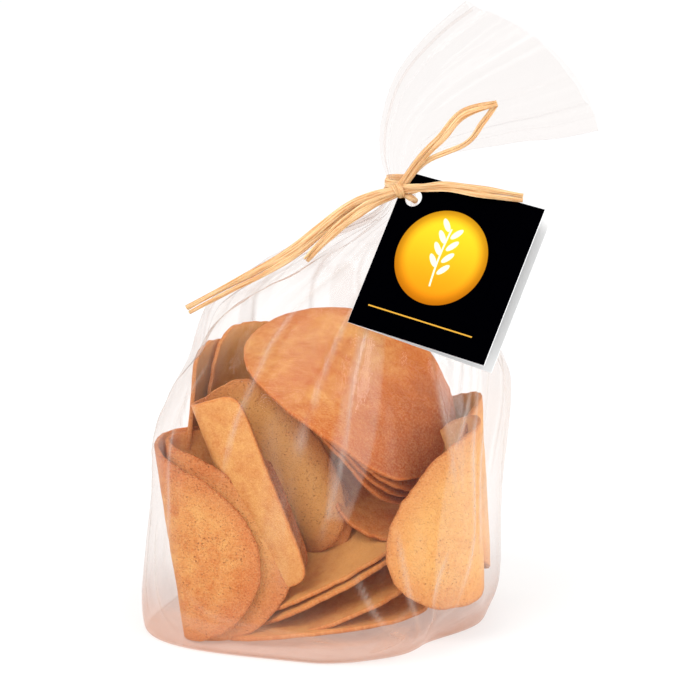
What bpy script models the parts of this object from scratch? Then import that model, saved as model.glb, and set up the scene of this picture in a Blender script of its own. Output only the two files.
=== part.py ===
"""Gathered film bag of almond tuiles, with a raffia tie and a folded hang tag.

Metres, +Z up. The origin is the middle of the flat base. The bag's wide side faces -Y.
"""

from math import cos, pi, radians, sin

import bmesh
import bpy
from mathutils import Matrix, Vector

# Driving sizes of the bag's filled body
BASE_HALF_WIDTH = 0.053
BASE_HALF_DEPTH = 0.045
BELLY_HEIGHT = 0.060
SHOULDER_HEIGHT = 0.1065
RING_POINTS = 72
BODY_RINGS = 26

# The gathered neck, off the body's middle, and the way its front faces
NECK = Vector((0.0308, -0.010, 0.1412))
NECK_RADIUS = 0.0042
FRONT_HEADING = radians(18)

# The flared film above the tie, in the plane that its front faces
FLARE_RINGS = 18
FLARE_PLEATS = 7

# Raffia ribbons
RIBBON_THICKNESS = 0.0008
RIBBON_SIDES = 8
RIBBON_STEPS = 22
TIE_GAP = 0.0005
WRAP_HEIGHT = 0.0045
WRAP_DEPTH = 0.0016
WRAP_MIDDLE = NECK + Vector((0, 0, 0.0025))
KNOT_REACH = 0.0121
KNOT_SIDE = -0.0014
KNOT_RADII = (0.0037, 0.0017, 0.0030)
HITCH_REACH = 0.0080
HITCH_SIDE = -0.0034
HITCH_RADII = (0.0015, 0.0040, 0.0020)

# Folded card tag
TAG_WIDTH = 0.0465
TAG_HEIGHT = 0.0495
TAG_THICKNESS = 0.0004
TAG_FOLD_ROUND = 0.4
TAG_OPENING = radians(11)
TAG_HOLE_RADIUS = 0.0027
TAG_HOLE_IN = 0.0050
TAG_HOLE_DOWN = 0.0074
TAG_LEAN = radians(26)
TAG_HEADING = radians(-8)
TAG_ROLL = radians(-12)
TAG_CORNER = Vector((0.0347, -0.0163, 0.1488))
PUNCH_LENGTH = 0.012

# The soft folds round the body: how many go round, where they start, and their share
BODY_FOLDS = ((9, 0.7, 0.6), (14, 2.1, 0.4))

# One row for each level of the body: middle x, middle y, height, half width, half depth,
# squareness of the section, depth of the folds as a share of the section
BODY_LEVELS = [
    (0.0000, 0.0000, 0.0000, BASE_HALF_WIDTH - 0.0020, BASE_HALF_DEPTH - 0.0020, 3.2, 0.000),
    (0.0002, 0.0000, 0.0025, BASE_HALF_WIDTH + 0.0005, BASE_HALF_DEPTH + 0.0005, 3.2, 0.002),
    (0.0020, 0.0000, 0.0200, BASE_HALF_WIDTH + 0.0020, BASE_HALF_DEPTH + 0.0015, 3.1, 0.008),
    (0.0055, 0.0000, BELLY_HEIGHT, BASE_HALF_WIDTH + 0.0005, BASE_HALF_DEPTH, 3.0, 0.012),
    (0.0090, 0.0000, 0.0830, BASE_HALF_WIDTH - 0.0030, BASE_HALF_DEPTH - 0.0040, 2.8, 0.020),
    (0.0125, -0.0010, SHOULDER_HEIGHT, 0.0445, 0.0290, 2.5, 0.035),
    (0.0210, -0.0055, 0.1250, 0.0215, 0.0160, 2.2, 0.060),
    (0.0288, -0.0090, 0.1350, 0.0074, 0.0066, 2.0, 0.050),
    (NECK.x, NECK.y, NECK.z, NECK_RADIUS, NECK_RADIUS, 2.0, 0.020),
]

# One row for each level of the flare: sideways and up from the neck, lean from upright,
# half width, half depth, depth of the pleats as a share of the section
FLARE_LEVELS = [
    (0.0000, 0.0050, radians(0), NECK_RADIUS, NECK_RADIUS, 0.02),
    (0.0005, 0.0110, radians(10), 0.0062, 0.0058, 0.08),
    (0.0035, 0.0185, radians(24), 0.0092, 0.0072, 0.12),
    (0.0100, 0.0255, radians(34), 0.0138, 0.0090, 0.13),
    (0.0190, 0.0320, radians(38), 0.0185, 0.0105, 0.12),
    (0.0310, 0.0385, radians(40), 0.0230, 0.0115, 0.11),
    (0.0435, 0.0450, radians(41), 0.0265, 0.0120, 0.10),
]
FLARE_RIM_BULGE = 0.30
FLARE_PLEAT_START = 1.0


def clear_scene():
    for thing in list(bpy.data.objects):
        bpy.data.objects.remove(thing, do_unlink=True)


def finish_material(name, colour, roughness, alpha=1.0):
    material = bpy.data.materials.new(name)
    material.use_nodes = True
    shader = material.node_tree.nodes["Principled BSDF"]
    shader.inputs["Base Color"].default_value = (*colour, 1.0)
    shader.inputs["Roughness"].default_value = roughness
    shader.inputs["Metallic"].default_value = 0.0
    shader.inputs["Alpha"].default_value = alpha
    return material


def smooth_between(rows, count):
    """Rows of numbers read at count even steps along the smooth curve through them."""
    found = []
    spans = len(rows) - 1
    for step in range(count):
        place = step * spans / (count - 1)
        i = min(int(place), spans - 1)
        t = place - i
        before, here, there, after = (rows[max(0, min(spans, i + k))] for k in (-1, 0, 1, 2))
        found.append(
            tuple(
                0.5
                * (
                    2 * b
                    + (c - a) * t
                    + (2 * a - 5 * b + 4 * c - d) * t**2
                    + (3 * b - a - 3 * c + d) * t**3
                )
                for a, b, c, d in zip(before, here, there, after)
            )
        )
    return found


def signed_power(value, power):
    return (abs(value) ** power) * (1 if value >= 0 else -1)


def heading_axes(heading):
    """The sideways and outward directions of a front turned by heading about +Z."""
    sideways = Vector((cos(heading), sin(heading), 0))
    outward = Vector((sin(heading), -cos(heading), 0))
    return sideways, outward


def body_ring(level):
    """A rounded-rectangle section with soft folds, deepest near the gathered neck."""
    middle_x, middle_y, height, half_width, half_depth, squareness, fold = level
    ring = []
    for k in range(RING_POINTS):
        turn = 2 * pi * k / RING_POINTS
        wave = 1 + fold * sum(share * cos(count * turn + start) for count, start, share in BODY_FOLDS)
        x = half_width * wave * signed_power(cos(turn), 2 / squareness)
        y = half_depth * wave * signed_power(sin(turn), 2 / squareness)
        ring.append(Vector((middle_x + x, middle_y + y, height)))
    return ring


def flare_ring(level):
    """A pleated oval section square to the flare's own leaning line."""
    side, up, lean, half_width, half_depth, fold = level
    sideways, outward = heading_axes(FRONT_HEADING)
    line = sideways * sin(lean) + Vector((0, 0, cos(lean)))
    across = sideways * cos(lean) - Vector((0, 0, sin(lean)))
    middle = NECK + sideways * side + Vector((0, 0, up))
    ring = []
    for k in range(RING_POINTS):
        turn = 2 * pi * k / RING_POINTS
        wave = 1 + fold * cos(FLARE_PLEATS * turn + FLARE_PLEAT_START)
        wide = half_width * wave * cos(turn)
        deep = half_depth * wave * sin(turn)
        # The open edge bulges furthest along the flare at its middle.
        behind = FLARE_RIM_BULGE * (half_width - NECK_RADIUS) * cos(turn) ** 2
        ring.append(middle + across * wide - outward * deep - line * behind)
    return ring


def skin_rings(name, rings):
    """One closed body: each ring joined to the next, with a flat cap at each end."""
    mesh = bpy.data.meshes.new(name)
    bm = bmesh.new()
    loops = [[bm.verts.new(point) for point in ring] for ring in rings]
    for low, high in zip(loops, loops[1:]):
        count = len(low)
        for k in range(count):
            bm.faces.new((low[k], low[(k + 1) % count], high[(k + 1) % count], high[k]))
    bm.faces.new(loops[0][::-1])
    bm.faces.new(loops[-1])
    bmesh.ops.recalc_face_normals(bm, faces=bm.faces)
    bm.to_mesh(mesh)
    bm.free()
    thing = bpy.data.objects.new(name, mesh)
    bpy.context.collection.objects.link(thing)
    mesh.shade_smooth()
    mesh.set_sharp_from_angle(angle=radians(50))
    return thing


def make_bag():
    rings = [body_ring(level) for level in smooth_between(BODY_LEVELS, BODY_RINGS)]
    rings += [flare_ring(level) for level in smooth_between(FLARE_LEVELS, FLARE_RINGS)]
    bag = skin_rings("bag", rings)
    bag.data.materials.append(finish_material("film", (0.92, 0.91, 0.91), 0.12, alpha=0.3))
    return bag


def knot_place():
    sideways, outward = heading_axes(FRONT_HEADING)
    return WRAP_MIDDLE + outward * KNOT_REACH + sideways * KNOT_SIDE


def tag_place():
    """The tag's own frame: x along its top edge, y from its face to its back, z up its fold."""
    return (
        Matrix.Translation(TAG_CORNER)
        @ Matrix.Rotation(TAG_HEADING, 4, "Z")
        @ Matrix.Rotation(-TAG_LEAN, 4, "X")
        @ Matrix.Rotation(-TAG_ROLL, 4, "Y")
    )


def ribbon(name, rows):
    """A flat strip with an oval section along a smooth curve.

    Each row is a point of the curve, the strip's width there and the turn of its flat side.
    """
    outward = heading_axes(FRONT_HEADING)[1]
    rows = smooth_between([(*point, width, turn) for point, width, turn in rows], RIBBON_STEPS)
    points = [Vector(row[:3]) for row in rows]
    rings = []
    for i, (point, row) in enumerate(zip(points, rows)):
        width, turn = row[3:]
        line = (points[min(i + 1, RIBBON_STEPS - 1)] - points[max(i - 1, 0)]).normalized()
        flat = line.cross(outward).normalized()
        flat.rotate(Matrix.Rotation(turn, 3, line))
        thick = line.cross(flat)
        rings.append(
            [
                point
                + flat * (width / 2 * cos(2 * pi * k / RIBBON_SIDES))
                + thick * (RIBBON_THICKNESS / 2 * sin(2 * pi * k / RIBBON_SIDES))
                for k in range(RIBBON_SIDES)
            ]
        )
    return skin_rings(name, rings)


def ball(name, middle, radii, heading):
    mesh = bpy.data.meshes.new(name)
    bm = bmesh.new()
    shape = Matrix.Translation(middle) @ Matrix.Rotation(heading, 4, "Z") @ Matrix.Diagonal((*radii, 1))
    bmesh.ops.create_icosphere(bm, subdivisions=2, radius=1.0, matrix=shape)
    bm.to_mesh(mesh)
    bm.free()
    thing = bpy.data.objects.new(name, mesh)
    bpy.context.collection.objects.link(thing)
    return thing


def neck_wrap(name):
    """The turns of raffia round the neck: a flattened ring with a rounded section."""
    inner = NECK_RADIUS * 1.02 + TIE_GAP
    around, section = 40, 10
    mesh = bpy.data.meshes.new(name)
    bm = bmesh.new()
    rings = []
    for i in range(around):
        turn = 2 * pi * i / around
        radial = Vector((cos(turn), sin(turn), 0))
        ring = []
        for k in range(section):
            a = 2 * pi * k / section
            reach = inner + WRAP_DEPTH / 2 * (1 + cos(a))
            point = radial * reach + Vector((0, 0, WRAP_HEIGHT / 2 * sin(a)))
            ring.append(bm.verts.new(WRAP_MIDDLE + point))
        rings.append(ring)
    for i in range(around):
        here, there = rings[i], rings[(i + 1) % around]
        for k in range(section):
            bm.faces.new((here[k], there[k], there[(k + 1) % section], here[(k + 1) % section]))
    bmesh.ops.recalc_face_normals(bm, faces=bm.faces)
    bm.to_mesh(mesh)
    bm.free()
    thing = bpy.data.objects.new(name, mesh)
    bpy.context.collection.objects.link(thing)
    return thing


# The strips that leave the knot: each stop is its place sideways, outward and up from the
# knot's middle, the strip's width there, and the turn of its flat side about its own line
STRIPS = {
    "left_long": [
        (0.0000, 0.0000, 0.0000, 0.0030, 0.0),
        (-0.008, -0.0050, -0.0025, 0.0036, 0.2),
        (-0.016, -0.0085, -0.0070, 0.0042, 0.3),
        (-0.030, -0.0104, -0.0188, 0.0040, 0.3),
        (-0.041, -0.0134, -0.0262, 0.0034, 0.2),
        (-0.052, -0.0178, -0.0325, 0.0026, 0.1),
        (-0.065, -0.0215, -0.0400, 0.0018, 0.0),
    ],
    "left_short": [
        (0.0000, 0.0004, -0.0006, 0.0026, 0.0),
        (-0.008, -0.0030, -0.0044, 0.0030, -0.2),
        (-0.0156, -0.0052, -0.0098, 0.0030, -0.3),
        (-0.022, -0.0062, -0.0156, 0.0026, -0.2),
        (-0.028, -0.0066, -0.0220, 0.0016, 0.0),
    ],
    "right_tail": [
        (0.0000, 0.0002, 0.0004, 0.0028, 0.0),
        (0.006, 0.0024, 0.0010, 0.0030, -0.2),
        (0.014, 0.0064, 0.0018, 0.0032, -0.3),
        (0.025, 0.0120, 0.0008, 0.0030, -0.2),
        (0.0360, 0.0150, -0.0006, 0.0022, 0.1),
    ],
    "loop_out": [
        (0.0000, 0.0004, 0.0006, 0.0028, 0.0),
        (0.0063, 0.0010, 0.0094, 0.0026, 0.2),
        (0.0130, 0.0014, 0.0165, 0.0028, 0.1),
        (0.0192, 0.0014, 0.0232, 0.0032, 0.1),
        (0.0292, 0.0012, 0.0262, 0.0016, 0.0),
    ],
    "loop_back": [
        (0.0012, -0.0006, 0.0006, 0.0020, 0.0),
        (0.0080, 0.0000, 0.0084, 0.0018, 0.4),
        (0.0200, 0.0008, 0.0140, 0.0016, 0.2),
        (0.0252, 0.0010, 0.0205, 0.0016, 0.1),
        (0.0290, 0.0010, 0.0258, 0.0014, 0.0),
    ],
}

# The narrow strip that holds the tag, through its hole: stops in the tag's own frame
TAG_STRIP_WIDTH = 0.0018
TAG_STRIP = [
    (0.0004, -0.0024, -0.0062),
    (0.0022, -0.0018, -0.0074),
    (0.0040, -0.0013, -0.0078),
    (0.0050, 0.0004, -0.0076),
    (0.0044, 0.0024, -0.0074),
    (0.0020, 0.0032, -0.0064),
    (-0.0012, 0.0034, -0.0046),
]


def strip_rows(stops):
    sideways, outward = heading_axes(FRONT_HEADING)
    knot = knot_place()
    return [
        (knot + sideways * side + outward * out + Vector((0, 0, up)), width, turn)
        for side, out, up, width, turn in stops
    ]


def make_tie():
    sideways, outward = heading_axes(FRONT_HEADING)
    hitch = WRAP_MIDDLE + outward * HITCH_REACH + sideways * HITCH_SIDE
    pieces = [
        neck_wrap("tie_wrap"),
        ball("tie_hitch", hitch, HITCH_RADII, FRONT_HEADING),
        ball("tie_knot", knot_place(), KNOT_RADII, FRONT_HEADING),
    ]
    pieces += [ribbon("tie_" + name, strip_rows(stops)) for name, stops in STRIPS.items()]
    place = tag_place()
    tag_rows = [(place @ Vector(stop), TAG_STRIP_WIDTH, 0.0) for stop in TAG_STRIP]
    pieces.append(ribbon("tie_tag_strip", tag_rows))
    tie = pieces[0]
    tie.name = "raffia_tie"
    for piece in pieces[1:]:
        join = tie.modifiers.new("join_" + piece.name, "BOOLEAN")
        join.operation = "UNION"
        join.solver = "EXACT"
        join.object = piece
        piece.hide_render = True
        piece.display_type = "WIRE"
    tie.data.materials.append(finish_material("raffia", (0.78, 0.52, 0.25), 0.6))
    return tie


def make_tag():
    """Two leaves of card that open like a book from the fold at the left edge."""
    half = TAG_THICKNESS / 2
    # Outline in the plane square to the fold: along the front leaf, and back from it
    front_end = Vector((TAG_WIDTH, 0))
    back_end = Vector((TAG_WIDTH * cos(TAG_OPENING), TAG_WIDTH * sin(TAG_OPENING)))
    square_to_back = Vector((-sin(TAG_OPENING), cos(TAG_OPENING)))
    inner_start = 2 * half / sin(TAG_OPENING) * cos(TAG_OPENING / 2)
    inside = Vector((inner_start * cos(TAG_OPENING / 2), inner_start * sin(TAG_OPENING / 2)))
    outline = [
        Vector((0, -half)),
        front_end + Vector((0, -half)),
        front_end + Vector((0, half)),
        inside,
        back_end - square_to_back * half,
        back_end + square_to_back * half,
        square_to_back * half,
        Vector((-half, half * TAG_FOLD_ROUND)),
    ]
    mesh = bpy.data.meshes.new("tag")
    bm = bmesh.new()
    foot = [bm.verts.new((p.x, p.y, -TAG_HEIGHT)) for p in outline]
    face = bm.faces.new(foot)
    pulled = bmesh.ops.extrude_face_region(bm, geom=[face])
    top = [v for v in pulled["geom"] if isinstance(v, bmesh.types.BMVert)]
    bmesh.ops.translate(bm, verts=top, vec=(0, 0, TAG_HEIGHT))
    bmesh.ops.recalc_face_normals(bm, faces=bm.faces)
    bm.to_mesh(mesh)
    bm.free()
    tag = bpy.data.objects.new("tag", mesh)
    bpy.context.collection.objects.link(tag)
    tag.data.materials.append(finish_material("card", (0.012, 0.012, 0.016), 0.35))

    punch_mesh = bpy.data.meshes.new("tag_punch")
    bm = bmesh.new()
    hole = Matrix.Translation((TAG_HOLE_IN, 0, -TAG_HOLE_DOWN)) @ Matrix.Rotation(pi / 2, 4, "X")
    bmesh.ops.create_cone(
        bm,
        cap_ends=True,
        segments=40,
        radius1=TAG_HOLE_RADIUS,
        radius2=TAG_HOLE_RADIUS,
        depth=PUNCH_LENGTH,
        matrix=hole,
    )
    bm.to_mesh(punch_mesh)
    bm.free()
    punch = bpy.data.objects.new("tag_punch", punch_mesh)
    bpy.context.collection.objects.link(punch)
    punch.hide_render = True
    punch.display_type = "WIRE"
    cut = tag.modifiers.new("hole", "BOOLEAN")
    cut.operation = "DIFFERENCE"
    cut.solver = "EXACT"
    cut.object = punch
    for thing in (tag, punch):
        thing.matrix_world = tag_place()
    return tag


clear_scene()
make_bag()
make_tie()
make_tag()
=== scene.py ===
import math

import bpy
import numpy as np
from mathutils import Matrix, Vector, kdtree, noise


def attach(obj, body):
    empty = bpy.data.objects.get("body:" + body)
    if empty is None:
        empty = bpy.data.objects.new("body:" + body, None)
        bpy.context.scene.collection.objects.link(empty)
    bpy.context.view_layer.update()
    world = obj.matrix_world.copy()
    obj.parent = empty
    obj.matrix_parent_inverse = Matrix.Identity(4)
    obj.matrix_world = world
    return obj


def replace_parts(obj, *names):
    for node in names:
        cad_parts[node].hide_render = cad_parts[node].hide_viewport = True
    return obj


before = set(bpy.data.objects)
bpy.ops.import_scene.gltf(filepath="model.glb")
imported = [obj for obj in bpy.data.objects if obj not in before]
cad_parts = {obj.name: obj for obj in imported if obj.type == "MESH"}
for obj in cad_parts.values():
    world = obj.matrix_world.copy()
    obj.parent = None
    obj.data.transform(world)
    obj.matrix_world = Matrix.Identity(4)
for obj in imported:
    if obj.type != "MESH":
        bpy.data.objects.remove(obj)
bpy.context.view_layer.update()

mm = 0.001


# shader maths: a wrapped socket, and one method that makes any node
class Signal:
    def __init__(self, finish, socket):
        self.finish = finish
        self.socket = socket

    def sum(self, operation, first, second):
        return self.finish.node("ShaderNodeMath", {"operation": operation}, {0: first, 1: second})

    def __add__(self, other):
        return self.sum("ADD", self, other)

    def __radd__(self, other):
        return self.sum("ADD", other, self)

    def __sub__(self, other):
        return self.sum("SUBTRACT", self, other)

    def __rsub__(self, other):
        return self.sum("SUBTRACT", other, self)

    def __mul__(self, other):
        return self.sum("MULTIPLY", self, other)

    def __rmul__(self, other):
        return self.sum("MULTIPLY", other, self)

    def __pow__(self, other):
        return self.sum("POWER", self, other)

    def __neg__(self):
        return self.sum("MULTIPLY", self, -1.0)

    def __abs__(self):
        return self.sum("ABSOLUTE", self, 0.0)

    def least(self, other):
        return self.sum("MINIMUM", self, other)

    def most(self, other):
        return self.sum("MAXIMUM", self, other)

    # 0 below start, 1 past end, eased between
    def rise(self, start, end):
        settings = {"interpolation_type": "SMOOTHSTEP"}
        return self.finish.node("ShaderNodeMapRange", settings, {"Value": self, 1: start, 2: end})

    # the coordinates stretched by a factor for each axis
    def stretch(self, factors):
        settings = {"operation": "MULTIPLY"}
        return self.finish.node("ShaderNodeVectorMath", settings, {0: self, 1: factors})


class Finish:
    def __init__(self, name):
        self.material = bpy.data.materials.new(name)
        self.material.use_nodes = True
        self.tree = self.material.node_tree
        self.tree.nodes.clear()

    def node(self, kind, settings=None, inputs=None, output=0):
        made = self.tree.nodes.new(kind)
        for key, value in (settings or {}).items():
            setattr(made, key, value)
        for key, value in (inputs or {}).items():
            if isinstance(value, Signal):
                self.tree.links.new(value.socket, made.inputs[key])
            else:
                made.inputs[key].default_value = value
        if len(made.outputs):
            return Signal(self, made.outputs[output])

    def attribute(self, name, output="Fac"):
        return self.node("ShaderNodeAttribute", {"attribute_name": name}, None, output)

    def noise(self, place, scale, detail=3.0, rough=0.55):
        values = {"Vector": place, "Scale": scale, "Detail": detail, "Roughness": rough}
        return self.node("ShaderNodeTexNoise", None, values, "Fac")

    def cells(self, place, scale, output="Distance"):
        return self.node("ShaderNodeTexVoronoi", None, {"Vector": place, "Scale": scale}, output)

    def mix(self, share, first, second):
        settings = {"data_type": "RGBA", "clamp_factor": True}
        return self.node("ShaderNodeMix", settings, {0: share, 6: colour(first), 7: colour(second)}, 2)

    def bump(self, height, distance, strength):
        values = {"Height": height, "Distance": distance, "Strength": strength}
        return self.node("ShaderNodeBump", None, values)

    def blend(self, share, first, second):
        return self.node("ShaderNodeMixShader", None, {0: share, 1: first, 2: second})

    def principled(self, values):
        return self.node("ShaderNodeBsdfPrincipled", None, values)

    def show(self, shader):
        self.node("ShaderNodeOutputMaterial", None, {"Surface": shader})
        return self.material


# a screen colour from 0 to 255 as the shader's own numbers
def colour(value):
    if isinstance(value, Signal):
        return value
    shades = [((c / 255 + 0.055) / 1.055) ** 2.4 if c > 10 else c / 255 / 12.92 for c in value]
    return (*shades, 1.0)


# a mesh from points in mm, riding on the one body
def makePiece(name, points, faces, material):
    mesh = bpy.data.meshes.new(name)
    mesh.from_pydata((points * mm).tolist(), [], faces)
    mesh.validate()
    mesh.shade_smooth()
    mesh.materials.append(material)
    piece = bpy.data.objects.new(name, mesh)
    bpy.context.scene.collection.objects.link(piece)
    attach(piece, "root")
    return piece


def setAttribute(piece, name, values):
    kind, field = ("FLOAT", "value") if values.ndim == 1 else ("FLOAT_VECTOR", "vector")
    layer = piece.data.attributes.new(name, kind, "POINT")
    layer.data.foreach_set(field, values.astype(np.float32).ravel())


# quads between rings of equal count, each ring closed on itself
def ringFaces(rings, count):
    faces = []
    for j in range(rings - 1):
        for k in range(count):
            near, far = j * count + k, j * count + (k + 1) % count
            faces.append((near, far, far + count, near + count))
    return faces


# the same with both end rings filled in
def tubeFaces(rings, count):
    faces = ringFaces(rings, count)
    faces.append(tuple(range(count))[::-1])
    faces.append(tuple(range((rings - 1) * count, rings * count)))
    return faces


# smooth noise at rows of places, from -1 to 1
def noiseAt(places):
    return np.array([noise.noise(place) for place in np.asarray(places, float).tolist()])


# rows read at even steps along the smooth curve through them
def smoothBetween(rows, count):
    rows = np.array(rows, float)
    spans = len(rows) - 1
    place = np.arange(count) * spans / (count - 1)
    i = np.minimum(place.astype(int), spans - 1)
    t = (place - i)[:, None]
    a, b, c, d = (rows[np.clip(i + k, 0, spans)] for k in (-1, 0, 1, 2))
    cubic = (2 * a - 5 * b + 4 * c - d) * t**2 + (3 * b - a - 3 * c + d) * t**3
    return 0.5 * (2 * b + (c - a) * t + cubic)


def smoothStep(value, start, end):
    t = np.clip((value - start) / (end - start), 0, 1)
    return t * t * (3 - 2 * t)


# the way to something from its heading and height in degrees
def wayTo(heading, height):
    heading, height = math.radians(heading), math.radians(height)
    flat = math.cos(height)
    return Vector((math.sin(heading) * flat, -math.cos(heading) * flat, math.sin(height)))


# camera: what it looks at, how far off it stands, its angles in degrees and its lens in mm
cameraSet = {
    "aim": (0.0112, 0, 0.0897), "distance": 0.6743,
    "azimuth": 17.1, "elevation": 10.8, "lens": 109.1, "sensor": 36,
}


def placeCamera():
    lens = bpy.data.cameras.new("camera")
    lens.lens = cameraSet["lens"]
    lens.sensor_width = cameraSet["sensor"]
    lens.clip_start = 0.02
    lens.clip_end = 60
    camera = bpy.data.objects.new("camera", lens)
    back = wayTo(cameraSet["azimuth"], cameraSet["elevation"])
    camera.location = Vector(cameraSet["aim"]) + back * cameraSet["distance"]
    camera.rotation_euler = (-back).to_track_quat("-Z", "Y").to_euler()
    bpy.context.scene.collection.objects.link(camera)
    bpy.context.scene.camera = camera


placeCamera()
print("camera placed")


# the neck in mm, and the ways across, out of and up the front that it turns to
neck = np.array((30.8, -10, 141.2))
neckRadius = 4.2
frontHeading = math.radians(18)
sideways = np.array((math.cos(frontHeading), math.sin(frontHeading), 0))
outward = np.array((math.sin(frontHeading), -math.cos(frontHeading), 0))
upward = np.array((0, 0, 1.0))


# film bag: sizes and heights in mm, turns in degrees
film = {
    "around": 336, "bodyRings": 168, "flareRings": 80, "baseRings": 12,
    # middle x, middle y, height, half width, half depth, squareness of the section
    "bodyLevels": [
        (0, 0, 0.2, 51, 43, 3.2),
        (0.2, 0, 2.5, 53.5, 45.5, 3.2),
        (2, 0, 20, 55, 46.5, 3.1),
        (5.5, 0, 60, 53.5, 45, 3),
        (9, 0, 83, 50, 41, 2.8),
        (12.5, -1, 106.5, 43, 29, 2.5),
        (21, -5.5, 125, 20.5, 16, 2.2),
        (28.8, -9, 135, 7.4, 6.6, 2),
        (30.8, -10, 141.2, 4, 4, 2),
    ],
    # sideways and up from the neck, lean from upright in degrees, half width, half depth
    "flareLevels": [
        (0, 5, 0, 4, 4),
        (0.5, 11, 10, 6.2, 5.8),
        (3.5, 18.5, 24, 9.2, 7.2),
        (10, 25.5, 34, 13.8, 9),
        (19, 32, 38, 18.5, 10.5),
        (31, 38.5, 40, 23, 11.5),
        (43.5, 45, 41, 26.5, 12),
    ],
    "rimBulge": 0.30,
    # gathers: how many go round, where they start, their share
    "gathers": ((11, 0.4, 0.34), (17, 1.9, 0.33), (26, 0.9, 0.33)),
    "gatherDepth": 1.7, "gatherHeights": (60, 130),
    # pleats of the flare in the same way, then their depth at its foot and what its rim adds
    "pleats": ((5, 1.0, 0.5), (9, 0.3, 0.3), (16, 1.2, 0.2)),
    "pleatDepth": (0.4, 3.0),
    # soft waves: their size and depth on the body and on the flare
    "bodyWaves": (30, 1.4), "flareWaves": (14, 1.2),
    # flat crumples: spacing, depth, how far their heights are squeezed, seed
    "crumples": ((17, 2.2, 0.55, 3), (7.5, 0.8, 0.6, 9)),
    # the box that they are scattered in, and how many there would be at a spacing of 1
    "crumpleBox": ((-80, -70, -10), (80, 70, 150)), "crumpleCount": 2.24e6,
    # heights over which waves come in at the foot, and between which crumples grow above and below
    "footHeights": (0, 12), "looseAbove": (55, 100), "looseBelow": (4, 30),
    # the narrowest body that crumples in full
    "crumpleSize": 20,
    # base: its lowest height and how uneven it is
    "baseHeight": 0.3, "baseUneven": 0.4, "baseWaves": 12,
    # dents: turn and height, reach both ways, depth
    "dents": [
        (-20, 0, 34, 17, 11), (-62, 0, 20, 9, 4), (20, 96, 22, 14, 4), (208, 92, 16, 14, 3),
        (150, 0, 22, 14, 6), (60, 0, 22, 12, 5),
    ],
    # the share of a crease's half length where it fades, and the half width of the painted highlight line
    # along it
    "creaseFade": (0.55, 1.15), "creaseGlintWidth": 0.75,
    # creases: stops as (turn, height), width and depth
    "creases": [
        ([(262, 133), (236, 112), (212, 84)], 1.0, 1.5),
        ([(256, 131), (229, 108), (206, 80)], 0.9, -1.1),
        ([(272, 128), (262, 108), (258, 84), (256, 56)], 1.4, 1.4),
        ([(284, 126), (276, 104), (272, 82), (270, 50)], 1.2, 1.2),
        ([(290, 122), (282, 96), (280, 66), (276, 40)], 1.0, -0.9),
        ([(316, 118), (312, 94), (322, 70), (330, 52)], 1.3, 1.4),
        ([(330, 108), (334, 88), (326, 66)], 1.2, 1.0),
        ([(340, 100), (338, 70), (344, 40), (336, 14)], 1.2, 1.0),
        ([(216, 100), (208, 70), (214, 38)], 1.8, 0.9),
        ([(232, 90), (226, 60), (234, 24)], 1.8, -0.7),
        ([(222, 40), (232, 18), (244, 6)], 1.2, 1.0),
        ([(206, 44), (214, 22), (222, 8)], 1.2, -0.9),
        ([(246, 20), (262, 12), (290, 9), (312, 22)], 1.4, 1.1),
        ([(286, 30), (296, 16), (312, 8)], 1.0, 0.9),
        ([(300, 44), (308, 22), (318, 6)], 1.2, 1.1),
        ([(328, 36), (322, 20), (330, 6)], 1.2, -1.0),
        ([(180, 110), (176, 74), (184, 36)], 1.8, 0.9),
        ([(150, 118), (142, 86), (150, 44), (142, 12)], 1.8, 1.1),
        ([(120, 122), (112, 90), (116, 58)], 1.6, 1.0),
        ([(100, 120), (92, 84), (98, 40)], 1.6, -0.8),
        ([(70, 118), (62, 92), (66, 50), (58, 16)], 1.8, 1.0),
        ([(40, 116), (34, 84), (40, 42)], 1.6, 0.9),
        ([(10, 112), (4, 82), (10, 40)], 1.7, -0.8),
        ([(352, 104), (346, 70), (352, 30)], 1.7, 0.9),
    ],
    # the soft edge of each painted reflection band
    "reflectionBandEdge": 0.5,
    # painted reflection bands, milkier and more mirroring: stops as (turn, height, half width), strength
    "reflectionBands": [
        ([(286, 118, 3), (285, 96, 4.5), (283, 72, 6), (280, 50, 4)], 0.13),
        ([(238, 124, 2), (220, 104, 1.6), (206, 84, 0.8)], 0.15),
        ([(318, 104, 1), (322, 84, 4), (330, 66, 2.2), (334, 54, 0.6)], 0.17),
        ([(332, 80, 1), (334, 60, 7), (332, 34, 8), (330, 16, 3)], 0.10),
        ([(296, 5, 1.0), (302, 9, 3.4), (309, 13, 1.0)], 0.16),
        ([(206, 78, 2), (214, 50, 9), (222, 24, 10), (228, 10, 4)], 0.07),
        ([(240, 12, 1.2), (262, 8, 2.4), (284, 7, 1.0)], 0.14),
        ([(150, 104, 2), (144, 74, 5), (148, 40, 3)], 0.14),
        ([(104, 112, 3), (96, 80, 6), (100, 44, 3)], 0.13),
        ([(50, 110, 2), (44, 76, 4.5), (50, 40, 3)], 0.13),
        ([(8, 104, 2), (4, 70, 4), (10, 36, 3)], 0.12),
    ],
    # the gap kept over the tuiles, and how many rings round about are pushed out, each by its share
    "gap": 0.7, "drapePasses": 2, "drapeSteps": 9, "drapeShare": 0.86, "drapeSoftening": 3,
    # tints at the foot, on the body and above the tie, with the heights in m over which they meet
    # the peach at the foot is painted reflection of the tuiles in the film
    "tintsWithFootReflection": ((212, 150, 114), (204, 190, 180), (232, 228, 226)),
    "tintHeights": ((0.004, 0.026), (0.130, 0.150)),
    # how milky and how mirroring it is, by place
    "milk": {"all": 0.008, "streaks": 0.13, "lessAbove": 0.07, "edge": 0.28, "foot": 0.22, "most": 0.6},
    "mirror": {"all": 0.010, "reflectionBand": 0.10, "edge": 0.6, "most": 0.9},
}


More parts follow.
